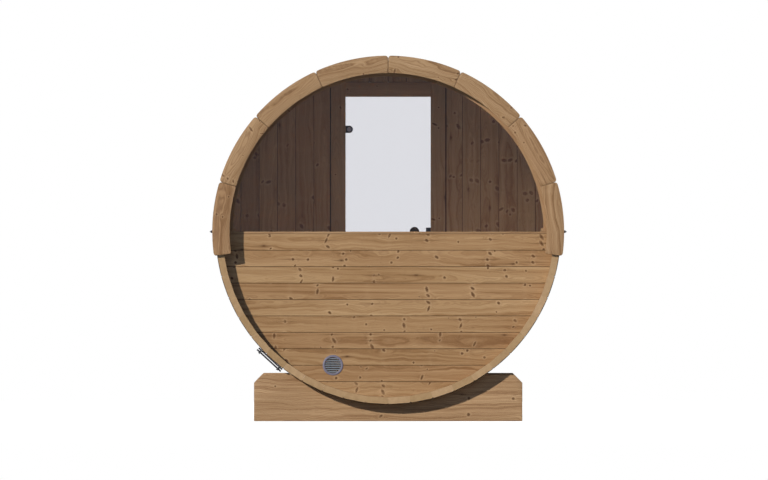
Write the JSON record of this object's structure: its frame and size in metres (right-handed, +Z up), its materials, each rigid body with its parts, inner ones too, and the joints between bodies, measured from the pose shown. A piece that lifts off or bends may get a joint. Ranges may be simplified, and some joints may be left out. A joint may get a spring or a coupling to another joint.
{
  "type": "barrel sauna",
  "caption": "Round wooden barrel sauna on two saddles, with a half-moon window at one end and a hinged glass door at the other.",
  "frame": {"origin": "on the ground under the middle of the barrel", "axes": "+Z up, Y along the barrel with the window end at -Y and the door end at +Y, X across"},
  "size_m": [2.0886, 2.256, 2.136],
  "materials": {
    "stave_wood": "satin",
    "wall_wood": "satin",
    "frame_wood": "satin",
    "saddle_wood": "matte",
    "knob_wood": "satin",
    "clear_glass": "polished",
    "hoop_steel": "satin",
    "vent_metal": "satin",
    "black_hardware": "satin"
  },
  "bodies": {
    "barrel": {"staves_01": "stave_wood", "staves_02": "stave_wood", "staves_03": "stave_wood", "staves_04": "stave_wood", "staves_05": "stave_wood", "staves_06": "stave_wood", "staves_07": "stave_wood", "staves_08": "stave_wood", "staves_09": "stave_wood", "staves_10": "stave_wood", "staves_11": "stave_wood", "staves_12": "stave_wood", "window_end_fascia": "wall_wood", "door_end_fascia": "wall_wood", "window_end_wall": "wall_wood", "window_sill": "frame_wood", "window_arch": "frame_wood", "window_glass": "clear_glass", "vent_grille": "vent_metal", "door_wall_left": "wall_wood", "door_wall_right": "wall_wood", "door_wall_above": "wall_wood", "door_wall_below": "wall_wood", "door_post_hinge_side": "frame_wood", "door_post_latch_side": "frame_wood", "door_head": "frame_wood", "door_threshold": "frame_wood", "door_hinge_leaves": "black_hardware", "door_catch": "black_hardware", "hoop_window_end": "hoop_steel", "hoop_door_end": "hoop_steel", "hoop_tensioners": "black_hardware", "hoop_joints": "black_hardware", "cradle_window_end": "saddle_wood", "cradle_door_end": "saddle_wood"},
    "door": {"door_glass": "clear_glass", "door_hinge_clamps": "black_hardware", "door_knob_inside": "knob_wood", "door_knob_outside": "knob_wood"}
  },
  "joints": [
    {"name": "door_hinge", "type": "hinge", "parent": "barrel", "child": "door", "pos_m": [-0.2645, 1.032, 1.108], "axis": [0, 0, 1], "range_deg": [0, 110]}
  ]
}
